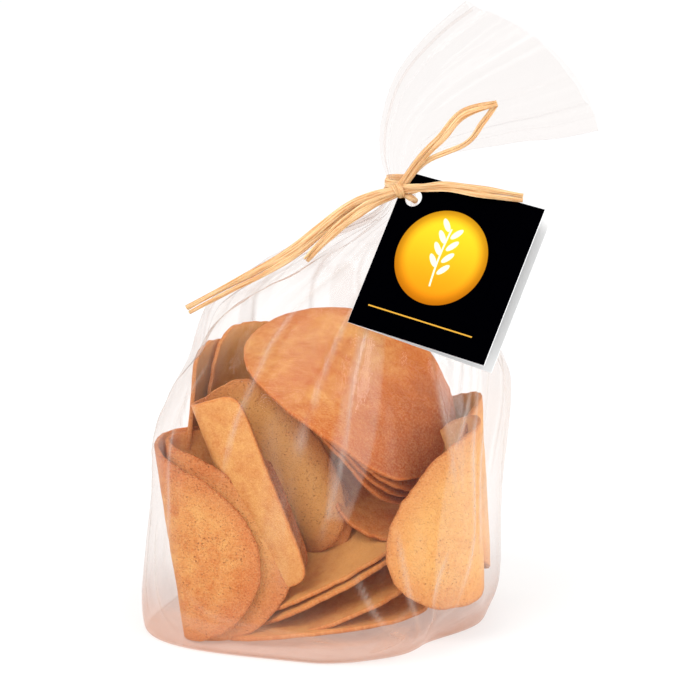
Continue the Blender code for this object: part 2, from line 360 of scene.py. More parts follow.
# the turns round the film, its body's rings and its flare's
def filmGrid():
    turn = 2 * np.pi * np.arange(film["around"]) / film["around"]
    rows = smoothBetween(film["bodyLevels"], film["bodyRings"])
    power = (2 / rows[:, 5])[:, None]
    wide = np.sign(np.cos(turn)) * np.abs(np.cos(turn)) ** power * rows[:, 3:4]
    deep = np.sign(np.sin(turn)) * np.abs(np.sin(turn)) ** power * rows[:, 4:5]
    tall = np.repeat(rows[:, 2:3], film["around"], 1)
    body = np.stack([rows[:, 0:1] + wide, rows[:, 1:2] + deep, tall], -1)
    flare = []
    for side, up, lean, halfWide, halfDeep in smoothBetween(film["flareLevels"], film["flareRings"]):
        lean = math.radians(lean)
        line = sideways * math.sin(lean) + upward * math.cos(lean)
        across = sideways * math.cos(lean) - upward * math.sin(lean)
        behind = film["rimBulge"] * (halfWide - neckRadius) * np.cos(turn) ** 2
        ring = neck + sideways * side + upward * up
        ring = ring + np.outer(np.cos(turn) * halfWide, across) - np.outer(np.sin(turn) * halfDeep, outward)
        flare.append(ring - np.outer(behind, line))
    return turn, body, np.array(flare)


# outward directions of a grid of rings
def gridNormals(grid):
    around = np.roll(grid, -1, 1) - np.roll(grid, 1, 1)
    along = np.gradient(grid, axis=0)
    normals = np.cross(around, along)
    return normals / np.maximum(np.linalg.norm(normals, axis=-1, keepdims=True), 1e-12)


# how far each grid point is from a line of points
def lineDistance(grid, line):
    best = np.full(grid.shape[:2], np.inf)
    for a, b in zip(line, line[1:]):
        span = b - a
        t = np.clip(((grid - a) @ span) / max(span @ span, 1e-12), 0, 1)
        best = np.minimum(best, np.linalg.norm(grid - a - t[..., None] * span, axis=-1))
    return best


# places on the film at turns and heights
def onBody(turns, tall, body):
    count = body.shape[1]
    heights = body[:, 0, 2]
    rows = np.interp(tall, heights, np.arange(len(heights)))
    columns = turns / 360 * count
    i = np.minimum(rows.astype(int), len(heights) - 2)
    j = np.floor(columns).astype(int)
    up, over = (rows - i)[:, None], (columns - j)[:, None]
    sides = [body[i + k, j % count] * (1 - over) + body[i + k, (j + 1) % count] * over for k in (0, 1)]
    return sides[0] * (1 - up) + sides[1] * up


# the depth of the creases, and the painted highlight line along each
def creaseField(body):
    field = np.zeros(body.shape[:2])
    marks = np.zeros(body.shape[:2])
    for stops, width, depth in film["creases"]:
        stops = smoothBetween(stops, 24)
        line = onBody(stops[:, 0], stops[:, 1], body)
        away = lineDistance(body, line)
        ends = np.linalg.norm(body - (line[0] + line[-1]) / 2, axis=-1)
        half = np.linalg.norm(line[0] - line[-1]) / 2
        start, end = film["creaseFade"]
        fade = 1 - smoothStep(ends, half * start, half * end)
        field += depth * fade * np.exp(-np.abs(away) / width)
        marks = np.maximum(marks, fade * np.exp(-((away / film["creaseGlintWidth"]) ** 2)))
    return field, marks


# the painted reflection bands, each even inside its two edges
def reflectionBandField(body):
    field = np.zeros(body.shape[:2])
    edge = film["reflectionBandEdge"]
    for stops, strength in film["reflectionBands"]:
        stops = smoothBetween(stops, 60)
        for at, half in zip(onBody(stops[:, 0], stops[:, 1], body), stops[:, 2]):
            away = np.linalg.norm(body - at, axis=-1)
            field = np.maximum(field, strength * (1 - smoothStep(away, half - edge, half + edge)))
    return field


# flat crumples: how far the nearest scattered point is, against their spacing
def crumpleAt(places, spacing, seed):
    low, high = film["crumpleBox"]
    count = int(film["crumpleCount"] / spacing**3)
    spots = np.random.default_rng(seed).uniform(low, high, (count, 3))
    tree = treeOf(spots)
    away = np.array([tree.find(place)[2] for place in places.reshape(-1, 3).tolist()])
    return (away / spacing).reshape(places.shape[:2])


def treeOf(places):
    tree = kdtree.KDTree(len(places))
    for i, place in enumerate(places.tolist()):
        tree.insert(place, i)
    tree.balance()
    return tree


def dented(turn, body):
    heights = body[:, :, 2]
    for heading, tall, wide, high, depth in film["dents"]:
        row = np.argmin(np.abs(body[:, 0, 2] - tall))
        spot = body[row, int(round(heading / 360 * len(turn))) % len(turn)]
        flatAway = np.linalg.norm((body - spot)[..., :2], axis=-1) / wide
        upAway = np.abs(heights - tall) / high
        share = (1 - smoothStep(flatAway, 0, 1)) * (1 - smoothStep(upAway, 0, 1))
        middle = body[:, :, :2].mean(1, keepdims=True)
        inward = middle - body[..., :2]
        inward = inward / np.maximum(np.linalg.norm(inward, axis=-1, keepdims=True), 1e-9)
        body[..., :2] += inward * (share * depth)[..., None]
    return body


# the film pushed out over the tuiles, as a taut skin lies over what it holds
def draped(body, solid):
    normals = gridNormals(body).reshape(-1, 3)
    flat = body.reshape(-1, 3)
    tree = treeOf(flat)
    nearest = np.array([tree.find(point)[1] for point in solid.tolist()])
    outside = ((solid - flat[nearest]) * normals[nearest]).sum(1) + film["gap"]
    push = np.zeros(len(flat))
    np.maximum.at(push, nearest, outside)
    push = push.reshape(body.shape[:2])
    for step in range(film["drapeSteps"]):
        near = np.maximum(np.roll(push, 1, 1), np.roll(push, -1, 1))
        near[1:] = np.maximum(near[1:], push[:-1])
        near[:-1] = np.maximum(near[:-1], push[1:])
        push = np.maximum(push, near * film["drapeShare"])
    for step in range(film["drapeSoftening"]):
        push = (push * 2 + np.roll(push, 1, 1) + np.roll(push, -1, 1)) / 4
        push[1:-1] = (push[1:-1] * 2 + push[2:] + push[:-2]) / 4
    return body + normals.reshape(body.shape) * push[..., None]


# how far the body's film is off its plain shape: gathers near the neck, soft waves and crumples
def crumpled(turn, body, calm):
    heights = body[:, :1, 2]
    waves = np.zeros(len(turn))
    for count, start, share in film["gathers"]:
        waves += share * (1 - 2 * np.abs(np.sin(count * turn / 2 + start)))
    around = body[..., :2] - body[..., :2].mean(1, keepdims=True)
    size = np.linalg.norm(around, axis=-1)
    near = smoothStep(heights, *film["gatherHeights"])
    shift = np.minimum(film["gatherDepth"] * near**1.4, 0.20 * size) * waves
    spacing, depth = film["bodyWaves"]
    soft = noiseAt((body / spacing).reshape(-1, 3)).reshape(shift.shape)
    shift = shift + soft * depth * calm * (1 - 0.8 * near)
    above = smoothStep(heights, *film["looseAbove"])
    below = 1 - smoothStep(heights, *film["looseBelow"])
    loose = 0.35 + 0.65 * above + 0.5 * below
    reach = np.minimum(1, size / film["crumpleSize"])
    flat = 0
    for spacing, depth, squeeze, seed in film["crumples"]:
        flat = flat + (crumpleAt(body * (1, 1, squeeze), spacing, seed) - 0.5) * depth
    return shift + flat * calm * loose * reach


def pleated(turn, flare):
    climb = np.linspace(0, 1, film["flareRings"])[:, None]
    pleats = np.zeros(len(turn))
    for count, start, share in film["pleats"]:
        pleats += share * np.cos(count * turn + start)
    spacing, depth = film["flareWaves"]
    soft = noiseAt((flare / spacing + 5).reshape(-1, 3)).reshape(flare.shape[:2])
    foot, added = film["pleatDepth"]
    shift = (foot + added * climb**0.7) * pleats + soft * depth * climb
    return flare + gridNormals(flare) * shift[..., None]


# rings that close the base inside its rim
def baseInside(rim):
    base = []
    middle = rim.mean(0)
    for share in np.linspace(0.02, 1, film["baseRings"], endpoint=False):
        ring = middle + (rim - middle) * share
        ring[:, 2] = film["baseHeight"] + film["baseUneven"] * np.abs(noiseAt(ring / film["baseWaves"]))
        base.append(ring)
    return np.array(base)


def makeFilm(material, solid):
    turn, body, flare = filmGrid()
    body = dented(turn, body)
    calm = smoothStep(body[:, :1, 2], *film["footHeights"])
    creases, creaseGlints = creaseField(body)
    reflectionBands = reflectionBandField(body)
    shift = crumpled(turn, body, calm) + creases * calm
    body = body + gridNormals(body) * shift[..., None]
    for step in range(film["drapePasses"]):
        body = draped(body, solid)
    grid = np.concatenate([baseInside(body[0]), body, pleated(turn, flare)])
    faces = ringFaces(len(grid), len(turn))
    faces.append(tuple(range(len(turn)))[::-1])
    piece = makePiece("film_bag", grid.reshape(-1, 3), faces, material)
    first = film["baseRings"]
    for name, field in (("creaseGlint", creaseGlints), ("reflectionBand", reflectionBands)):
        values = np.zeros(grid.shape[:2])
        values[first:first + len(body)] = field
        setAttribute(piece, name, values.reshape(-1))
    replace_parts(piece, "bag")


def filmFinish():
    finish = Finish("clear film")
    milk, mirror = film["milk"], film["mirror"]
    facing = finish.node("ShaderNodeLayerWeight", None, {"Blend": 0.5}, "Facing")
    place = finish.node("ShaderNodeTexCoord", None, None, "Object")
    height = finish.node("ShaderNodeSeparateXYZ", None, {0: place}, 2)
    streak = finish.noise(place.stretch((1, 1, 0.16)), 70.0, 5.0, 0.6)
    cloud = finish.noise(place, 30.0)
    # bands of painted reflection: milkier and more mirroring there
    reflectionBand = finish.attribute("reflectionBand")
    # pale lines along the creases: painted highlights
    creaseGlint = finish.attribute("creaseGlint") * (0.08 + cloud * 0.34)
    # the foot is milkier and peach: painted reflection of the tuiles
    low = 1 - height.rise(0.002, 0.022)
    strength = milk["streaks"] - height.rise(0.142, 0.155) * milk["lessAbove"]
    haze = milk["all"] + streak.rise(0.50, 0.78) * strength * cloud.rise(0.35, 0.65)
    haze = haze + facing**2.5 * milk["edge"] + creaseGlint + low * milk["foot"] + reflectionBand * (0.7 + cloud * 0.6)
    crinkle = finish.noise(place.stretch((1, 1, 0.5)), 240.0, 4.0, 0.6)
    normal = finish.bump(abs(crinkle - 0.5), 0.0006, 0.5)
    values = {"Base Color": colour((250, 250, 252)), "Metallic": 1.0, "Roughness": 0.10, "Normal": normal}
    shine = finish.principled(values)
    # the peach foot tint is painted reflection of the tuiles
    foot, middle, top = film["tintsWithFootReflection"]
    (footStart, footEnd), (topStart, topEnd) = film["tintHeights"]
    tint = finish.mix(height.rise(footStart, footEnd), foot, middle)
    tint = finish.mix(height.rise(topStart, topEnd), tint, top)
    milky = finish.principled({"Base Color": tint, "Roughness": 0.5, "Specular IOR Level": 0.0})
    clear = finish.node("ShaderNodeBsdfTransparent", None, {"Color": colour((252, 250, 249))})
    # the painted reflection bands mirror more
    gloss = mirror["all"] + reflectionBand * mirror["reflectionBand"] + facing**6 * mirror["edge"]
    skin = finish.blend(haze.least(milk["most"]), clear, milky)
    return finish.show(finish.blend(gloss.least(mirror["most"]), skin, shine))


# what every tuile has unless its own row says otherwise, in mm and degrees
tuile = {
    "around": 216, "rings": 15, "thick": 1.6,
    # the rim's steps: share of the reach, and side from 1 on the crown to -1 inside
    "rim": [(0.992, 1.0), (0.9995, 0.85), (1.0, 0.3), (0.9995, -0.85), (0.992, -1.0)],
    # how the round lies on the bend, how the sides curl past it, and the outline's squareness
    "turn": 0, "shift": 0, "slide": 0, "flare": 0, "power": 2.3,
    # how far the face, the outline and its edge stray from the plain shape
    "warp": 0.8, "uneven": 1, "ragged": 0.4,
    # pores: 1 has them on the crown's side, -1 inside; tone: 0 is pale, 1 deep; then a deeper tone to one
    # side, partly real browning and partly painted shade
    "pores": 1, "browningAndShade": 0,
    # the lowest that a tuile may reach, and the height under which it is pressed up to keep that
    "lowest": 0.5, "pressedUnder": 6,
    "colours": {
        "pale": (228, 168, 96), "baked": (194, 96, 28), "deep": (140, 56, 14), "ring": (196, 100, 52),
        "edge": (206, 112, 44), "poredEdge": (164, 84, 36), "pore": (154, 80, 38),
        "lightGrain": (248, 202, 138), "darkGrain": (176, 88, 36),
    },
}
# the stack's tone deepens to one side: partly browning, partly painted shade
stacked = {
    "turned": (-29, 44, -69), "opening": 150, "flare": -9,
    "pores": -1, "tone": 0.8, "ragged": 0.3, "warp": 0.25, "uneven": 0.4, "browningAndShade": 0.38,
}
# at: the crown's middle; turned: its heading, lift and roll; size: the round before it is bent
# bend: the crown's radius; opening: the angle between the sides past it
tuiles = {
    "left_front": {
        "at": (-39, -30, 32), "turned": (-150, -6, 9), "size": (79, 54), "bend": 9.5, "opening": 32,
        "turn": -36, "shift": -5, "tone": 0.5, "ragged": 0.3,
    },
    "left_inner": {
        "at": (-36, -28.5, 31), "turned": (-150, -6, 9), "size": (79, 54), "bend": 6.5, "opening": 28,
        "turn": -38, "tone": 0.45, "ragged": 0.35,
    },
    "roll": {
        "at": (-23, -18.5, 45), "turned": (175, -21, -4), "size": (42, 64), "bend": 7, "opening": 12,
        "shift": 3, "slide": -1, "power": 9, "pores": -1, "tone": 0.42, "ragged": 0.15, "warp": 0.25,
        "uneven": 0.1,
    },
    # the two ridge tuiles have pale tones as painted light, making up for light that falls short on their
    # faces
    "ridge": {
        "at": (-7, -11.5, 54), "turned": (-79, -7, 32), "size": (37, 64), "bend": 16, "opening": 60,
        "shift": -5.5, "power": 2.5, "pores": 0.8, "tone": 0, "ragged": 0.35,
    },
    "ridge_inner": {
        "at": (-5.5, -8.5, 50.5), "turned": (-79, -7, 32), "size": (37, 60), "bend": 13.8,
        "opening": 60, "shift": -5.5, "power": 2.5, "tone": 0.1, "ragged": 0.5,
    },
    "stack_1": {
        **stacked, "at": (29, 4.5, 75), "size": (82, 65), "bend": 31, "turn": -25, "shift": -17,
        "slide": -6.5, "power": 2.05, "tone": 1,
    },
    "stack_2": {
        **stacked, "at": (27, 4.5, 72.5), "size": (64, 60), "bend": 27.8, "turn": -24, "shift": -5,
        "slide": -4.5, "power": 2,
    },
    "stack_3": {
        **stacked, "at": (24.5, 5, 70), "size": (66, 58), "bend": 24.6, "turn": -33, "shift": -5,
        "slide": -2, "power": 1.95,
    },
    "stack_4": {
        **stacked, "at": (22, 5, 67), "size": (69, 53), "bend": 21.2, "turn": -38, "shift": -6,
        "slide": 1, "power": 2,
    },
    "hollow": {
        "at": (24, 14, 39), "turned": (115, -69, 22), "size": (46, 48), "bend": 28, "opening": 90,
        "shift": 1, "tone": 0.7,
    },
    "right_front": {
        "at": (54.5, -2, 46), "turned": (13, 2, -5), "size": (68, 46), "bend": 11, "opening": 24,
        "turn": 44, "shift": -6, "slide": -5, "power": 2.05, "pores": 0.4, "tone": 0.12, "ragged": 0.35,
    },
    "low_1": {
        "at": (1.5, 0, 25), "turned": (66, -55, 37), "size": (54, 72), "bend": 70, "opening": 120,
        "tone": 0.15,
    },
    "low_2": {
        "at": (2, -0.5, 22), "turned": (66, -55, 37), "size": (56, 70), "bend": 70, "opening": 120,
        "tone": 0.35,
    },
    "low_3": {
        "at": (5, -1.5, 12.5), "turned": (68, -60, 41), "size": (54, 66), "bend": 70, "opening": 120,
        "tone": 0.4,
    },
    "low_4": {
        "at": (2, -7, 6), "turned": (78, -78, 58), "size": (50, 74), "bend": 90, "opening": 130,
        "tone": 0.35,
    },
    # the two back left tuiles have pale tones as painted light, making up for light that falls short on their
    # faces
    "back_left": {
        "at": (-35, 12, 62), "turned": (148, -5, 9), "size": (60, 54), "bend": 30, "opening": 70,
        "pores": 0.6, "tone": 0, "ragged": 0.5,
    },
    "back_left_inner": {
        "at": (-32, 11.5, 68), "turned": (148, -5, 9), "size": (58, 54), "bend": 26.6, "opening": 70,
        "shift": -13, "pores": 0.6, "tone": 0.1, "ragged": 0.5,
    },
    "back_right": {
        "at": (45.5, 28, 43), "turned": (42, -2, -11), "size": (70, 58), "bend": 24, "opening": 70,
        "pores": 0.6, "tone": 0.05, "ragged": 0.35,
    },
    "rear_left": {
        "at": (-23, 34, 40), "turned": (115, 0, 5), "size": (58, 70), "bend": 26, "opening": 96,
        "tone": 0.45,
    },
    "rear_right": {
        "at": (20, 42, 42), "turned": (84, 0, -7), "size": (52, 72), "bend": 28, "opening": 100,
        "tone": 0.35,
    },
    "base": {
        "at": (6, 24, 3), "turned": (0, -87, -18), "size": (40, 70), "bend": 90, "opening": 130,
        "tone": 0.4,
    },
}


# a tuile's bent middle line: how far out, how far across, and the way that it faces
def bendLine(across, shape):
    bend = shape["bend"]
    half = math.radians((180 - shape["opening"]) / 2)
    curl = -shape["flare"] / 1000
    limit = bend * half
    onBend = np.clip(across, -limit, limit) / bend
    past = np.abs(across) - np.minimum(np.abs(across), limit)
    if curl:
        turned = half + curl * past
        out = (np.cos(turned) - np.cos(half)) / curl
        wide = (np.sin(turned) - np.sin(half)) / curl
    else:
        turned = half + 0 * past
        out = -np.sin(half) * past
        wide = np.cos(half) * past
    side = np.where(across < 0, -1, 1)
    facing = np.where(past > 0, turned, np.abs(onBend))
    out = bend * np.cos(onBend) + out - bend
    wide = bend * np.sin(onBend) + side * wide
    return out, wide, facing * side


# how far out the edge is at each angle
def outline(shape, angle, seed):
    length, width = shape["size"]
    power = shape["power"]
    reach = np.abs(np.cos(angle) / (length / 2)) ** power
    reach = (reach + np.abs(np.sin(angle) / (width / 2)) ** power) ** (-1 / power)
    circle = np.stack([np.cos(angle), np.sin(angle), 0 * angle + seed], -1)
    sway = 1.3 * noiseAt(circle * (1.3, 1.3, 1)) + 0.5 * noiseAt(circle * (5, 5, 1.7))
    reach = reach + shape["uneven"] * sway
    ragged = shape["ragged"]
    return reach + ragged * noiseAt(circle * (9, 9, 2.1)) + 0.5 * ragged * noiseAt(circle * (19, 19, 3.3))


# rings from the crown's middle over the rim and back inside
def tuilePoints(shape, seed):
    count = shape["around"]
    angle = 2 * np.pi * np.arange(count) / count
    reach = outline(shape, angle, seed)
    inner = np.linspace(0.03, 1, shape["rings"])[:-1] ** 0.8
    steps = [(t, 1.0) for t in inner] + shape["rim"] + [(t, -1.0) for t in inner[::-1]]
    share, side = np.array(steps).T
    length = np.outer(share, reach * np.cos(angle))
    width = np.outer(share, reach * np.sin(angle))
    turn = math.radians(shape["turn"])
    across = length * math.cos(turn) - width * math.sin(turn) + shape["shift"]
    along = length * math.sin(turn) + width * math.cos(turn) + shape["slide"]
    out, wide, facing = bendLine(across, shape)
    flat = np.stack([across, along, 0 * across + seed * 11.7], -1)
    warp = shape["warp"] * noiseAt((flat / 24).reshape(-1, 3)).reshape(across.shape)
    warp += 0.14 * noiseAt((flat / 5).reshape(-1, 3)).reshape(across.shape)
    thick = shape["thick"] / 2 * (1 - 0.18 * share**8)
    lift = warp + (side * thick)[:, None]
    local = np.stack([out + np.cos(facing) * lift, wide + np.sin(facing) * lift, along], -1)
    heading, rise, roll = (math.radians(a) for a in shape["turned"])
    place = Matrix.Rotation(heading, 3, "Z") @ Matrix.Rotation(-rise, 3, "Y") @ Matrix.Rotation(roll, 3, "X")
    points = local.reshape(-1, 3) @ np.array(place).T + shape["at"]
    points = pressedUp(points, shape["lowest"], shape["pressedUnder"])
    toRim = np.outer(1 - share, reach)
    sides = np.repeat(side[:, None], count, 1)
    return points, flat.reshape(-1, 3), toRim.reshape(-1), sides.reshape(-1)


# heights under the top pressed together, so that none is too low
def pressedUp(points, lowest, top):
    heights = points[:, 2]
    low = min(heights.min(), lowest)
    pressed = top - (top - heights) * (top - lowest) / (top - low)
    points[:, 2] = np.where(heights < top, pressed, heights)
    return points


def makeTuile(name, shape, seed, material):
    points, flat, toRim, sides = tuilePoints(shape, seed)
    count = shape["around"]
    faces = [face[::-1] for face in tubeFaces(len(points) // count, count)]
    piece = makePiece(name, points, faces, material)
    setAttribute(piece, "flat", flat)
    setAttribute(piece, "toRim", toRim)
    setAttribute(piece, "pored", (sides * shape["pores"] + 1) / 2)
    # the tone deepens to one side: partly browning, partly painted shade
    setAttribute(piece, "tone", shape["tone"] + shape["browningAndShade"] * np.clip(flat[:, 0] / 22, -1, 1))
    return piece


def tuileFinish():
    finish = Finish("baked tuile")
    shades = tuile["colours"]
    flat = finish.attribute("flat", "Vector")
    toRim = finish.attribute("toRim")
    pored = finish.attribute("pored")
    tone = finish.attribute("tone")
    blotch = finish.noise(flat, 0.055, 4.0)
    mottle = finish.noise(flat, 0.30, 5.0, 0.62)
    grain = finish.noise(flat, 1.9, 4.0, 0.65)
    # the bake: even tone with blotches, then the deepest of it, which on the stack's deeper side is partly
    # painted shade
    baked = (tone + (blotch - 0.5) * 1.3 + (mottle - 0.5) * 1.1).rise(0.0, 1.1)
    crumb = finish.mix(baked, shades["pale"], shades["baked"])
    deepestAndShade = (tone + (blotch - 0.5) * 0.8).rise(0.85, 1.3)
    crumb = finish.mix(deepestAndShade * 0.9, crumb, shades["deep"])
    # a darker ring inside the rim, and the rim itself
    ring = 1 - (toRim + (mottle - 0.5) * 9.0).rise(0.0, 10.0)
    crumb = finish.mix(ring * (0.12 + pored * 0.45), crumb, shades["ring"])
    edge = 1 - (toRim + (grain - 0.5) * 1.6).rise(0.1, 1.2)
    crumb = finish.mix(edge * 0.55, crumb, finish.mix(pored, shades["edge"], shades["poredEdge"]))
    # pores: some large ones in patches, and small ones
    chosen = finish.node("ShaderNodeSeparateColor", None, {0: finish.cells(flat, 0.85, "Color")}, 0)
    patch = finish.noise(flat, 0.16, 2.0).rise(0.34, 0.62)
    hole = 1 - finish.cells(flat, 0.85).rise(0.08, 0.32)
    hole = hole * chosen.rise(0.25, 0.60) * pored * (0.35 + patch * 0.65)
    small = (1 - finish.cells(flat, 1.6).rise(0.10, 0.42)) * pored
    crumb = finish.mix(hole * 0.58 + small * 0.32, crumb, shades["pore"])
    crumb = finish.mix(grain - 0.42, crumb, shades["lightGrain"])
    crumb = finish.mix((0.46 - grain) * 0.9, crumb, shades["darkGrain"])
    height = grain * 0.40 + mottle * 0.8 - hole * 0.8 - small * 0.4
    values = {
        "Base Color": crumb, "Roughness": 0.40 + pored * 0.22 + (mottle - 0.5) * 0.16,
        "Normal": finish.bump(height, 0.0005, 0.8), "Specular IOR Level": 0.2,
        "Subsurface Weight": 0.06, "Subsurface Radius": (0.9, 0.4, 0.15), "Subsurface Scale": 0.0012,
    }
    return finish.show(finish.principled(values))


tuileMaterial = tuileFinish()
tuilePlaces = []
for seed, (name, row) in enumerate(tuiles.items(), 1):
    piece = makeTuile("tuile_" + name, {**tuile, **row}, seed, tuileMaterial)
    tuilePlaces += [vertex.co[:] for vertex in piece.data.vertices]
print("tuiles made:", len(tuiles))

makeFilm(filmFinish(), np.array(tuilePlaces) / mm)
print("film bag made")


# the folded tag in mm: its corner and frame, then its print, across and up from that corner
tag = {
    "corner": (34.7, -16.3, 148.8), "lean": 26, "heading": -8, "roll": -12,
    "roundel": (20.9, -22.6), "radius": 14.8,
    # the sprig on the roundel: half its stem, then its leaves, with their lean and half sizes squared
    "stem": 9.0, "leaves": 8, "firstLeaf": -4.5, "leafStep": 1.9,
    "leafLean": 40, "leafOut": (2.1, 1.2), "leafSquares": (0.81, 5.3),
    # the rule under it: its middle, half its length and half its thickness
    "rule": (22, -42.6), "ruleHalf": (17.6, 0.16),
    "colours": {
        "ink": ((0, 0, 1), (2, 2, 5)), "card": ((252, 252, 252), (244, 244, 243)),
        "gold": ((255, 205, 40), (232, 140, 20)), "goldEdge": (150, 82, 6),
        "sprig": (255, 242, 208), "rule": (214, 160, 60),
    },
}


# the tag's own frame: across its top, from its face to its back, up its fold
def tagFrame():
    place = Matrix.Translation(tag["corner"]) @ Matrix.Rotation(math.radians(tag["heading"]), 4, "Z")
    place = place @ Matrix.Rotation(-math.radians(tag["lean"]), 4, "X")
    return place @ Matrix.Rotation(-math.radians(tag["roll"]), 4, "Y")


# raffia tie in mm
raffia = {
    "wrapMiddle": neck + (0, 0, 2.5),
    "knotReach": 12.1, "knotSide": -1.4,
    # a strip: thickness, points along and across, its grooves and their depth, its fine ones and its cupping
    "thick": 0.5, "steps": 60, "sides": 17, "grooves": 5,
    "grooveDepth": 0.16, "fineDepth": 0.08, "cup": 0.35,
    # wound strips: half their thickness, their grooves' depth and the rings in a turn
    "woundThick": 0.26, "woundGroove": 0.11, "turnSteps": 62,
    # each wound strip: how far out, how many turns, the length covered, its width and its seed
    "neckTurns": (5.0, 3.25, 3.4, 2.6, 1), "knotTurns": (2.1, 1.7, 1.2, 1.9, 3),
    "colours": {"dark": (198, 130, 66), "light": (248, 212, 160), "patch": (232, 172, 110)},
    # the narrow strip through the tag's hole, in the tag's own frame
    "tagStripWidth": 1.8,
    "tagStrip": [
        (0.4, -2.4, -6.2), (2.2, -1.8, -7.4), (4, -1.3, -7.8), (5, 0.4, -7.6), (4.4, 2.4, -7.4),
        (2, 3.2, -6.4), (-1.2, 3.4, -4.6),
    ],
    # strips: sideways, outward and up from the knot, width, turn of the flat side
    "strips": {
        "left_long": [
            (0, 0, 0, 3, 0), (-8, -5, -2.5, 3.6, 0.2), (-16, -8.5, -7, 4.2, 0.3),
            (-30, -10.4, -18.8, 4, 0.3), (-41, -13.4, -26.2, 3.4, 0.2), (-52, -17.8, -32.5, 2.8, 0.1),
            (-65, -21.5, -40, 2.6, 0),
        ],
        "left_short": [
            (0, 0.4, -0.6, 2.6, 0), (-8, -3, -4.4, 3, -0.2), (-15.6, -5.2, -9.8, 3, -0.3),
            (-22, -6.2, -15.6, 2.6, -0.2), (-28, -6.6, -22, 1.6, 0),
        ],
        "right_tail": [
            (0, 0.2, 0.4, 2.8, 0), (6, 2.4, 1, 3, -0.2), (14, 6.4, 1.8, 3.2, -0.3),
            (25, 12, 0.8, 3, -0.2), (36, 15, -0.6, 2.2, 0.1),
        ],
        "loop_out": [
            (0, 0.4, 0.6, 2.8, 0), (6.3, 1, 9.4, 2.6, 0.2), (13, 1.4, 16.5, 2.8, 0.1),
            (19.2, 1.4, 23.2, 3.2, 0.1), (29.2, 1.2, 26.2, 1.6, 0),
        ],
        "loop_back": [
            (1.2, -0.6, 0.6, 2, 0), (8, 0, 8.4, 1.8, 0.4), (20, 0.8, 14, 1.6, 0.2),
            (25.2, 1, 20.5, 1.6, 0.1), (29, 1, 25.8, 1.4, 0),
        ],
    },
}
knotMiddle = raffia["wrapMiddle"] + outward * raffia["knotReach"] + sideways * raffia["knotSide"]


# one ring of a strip: over its upper side and back along its lower side
def stripRing(middle, reach, flat, above, below, up):
    top = np.outer(reach, flat) + np.outer(above, up)
    low = np.outer(reach, flat) + np.outer(below, up)
    return np.concatenate([middle + top, (middle + low)[::-1]])


# places across a strip, and its rounded edges
def stripSection():
    across = np.linspace(-1, 1, raffia["sides"])
    return across, np.sqrt(np.maximum(1 - across**2, 0.02))


# a strip's piece from its rings; its finish reads the place across it, the run along it and its number
def makeStrip(name, rings, run, number, material):
    steps, count = len(rings), 2 * raffia["sides"]
    across = stripSection()[0]
    strand = np.tile(np.concatenate([across, across[::-1]]), (steps, 1))
    marks = np.stack([strand, np.repeat(run[:, None], count, 1), np.full((steps, count), number)], -1)
    points = np.array(rings).reshape(-1, 3)
    piece = makePiece(name, points, tubeFaces(steps, count), material)
    setAttribute(piece, "strand", marks.reshape(-1, 3))
    return piece


# a fibrous flat strip: rows hold place, width and turn
def makeRibbon(name, rows, material, seed):
    rows = smoothBetween(rows, raffia["steps"])
    points = rows[:, :3]
    line = np.gradient(points, axis=0)
    line /= np.linalg.norm(line, axis=1, keepdims=True)
    flat = np.cross(line, outward)
    flat /= np.linalg.norm(flat, axis=1, keepdims=True)
    up = np.cross(line, flat)
    turn = rows[:, 4:5]
    flat, up = flat * np.cos(turn) + up * np.sin(turn), up * np.cos(turn) - flat * np.sin(turn)
    across, rounded = stripSection()
    cup = raffia["cup"] * (across**2 - 0.4)
    taper = raffia["thick"] / 2 * rounded
    rings = []
    for i in range(raffia["steps"]):
        phase = seed + 0.5 * math.sin(i * 0.21 + seed)
        groove = raffia["grooveDepth"] * np.cos(raffia["grooves"] * np.pi * across + phase)
        fine = noiseAt(np.stack([across * 6, 0 * across + i * 0.06, 0 * across + seed], -1))
        groove += raffia["fineDepth"] * fine
        reach = across * rows[i, 3] / 2 * (1 + 0.08 * math.sin(i * 0.37 + seed * 2))
        above, below = cup + taper + groove, cup - taper + groove * 0.4
        rings.append(stripRing(points[i], reach, flat[i], above, below, up[i]))
    run = np.concatenate([[0], np.cumsum(np.linalg.norm(np.diff(points, axis=0), axis=1))])
    return makeStrip(name, rings, run, seed * 5.3, material)


# turns of a flat strip round a core
def makeWrap(name, middle, along, size, material):
    reach, turns, span, width, seed = size
    steps = int(raffia["turnSteps"] * turns)
    share = np.linspace(0, 1, steps)
    along = along / np.linalg.norm(along)
    first = np.cross(along, outward)
    first = first / np.linalg.norm(first)
    second = np.cross(along, first)
    angle = share * 2 * np.pi * turns + seed
    radial = np.outer(np.cos(angle), first) + np.outer(np.sin(angle), second)
    points = middle + radial * (reach * (1 + 0.06 * np.sin(angle * 0.33 + seed)))[:, None]
    points = points + np.outer((share - 0.5) * span + width * 0.12 * np.sin(angle * 1.3), along)
    across, rounded = stripSection()
    taper = raffia["woundThick"] * rounded
    rings = []
    for i in range(steps):
        phase = 0.4 * math.sin(i * 0.11) + seed
        groove = raffia["woundGroove"] * np.cos(raffia["grooves"] * np.pi * across + phase)
        rings.append(stripRing(points[i], across * width / 2, along, taper + groove, -taper, radial[i]))
    return makeStrip(name, rings, np.arange(steps) * 0.5, seed * 7.7, material)


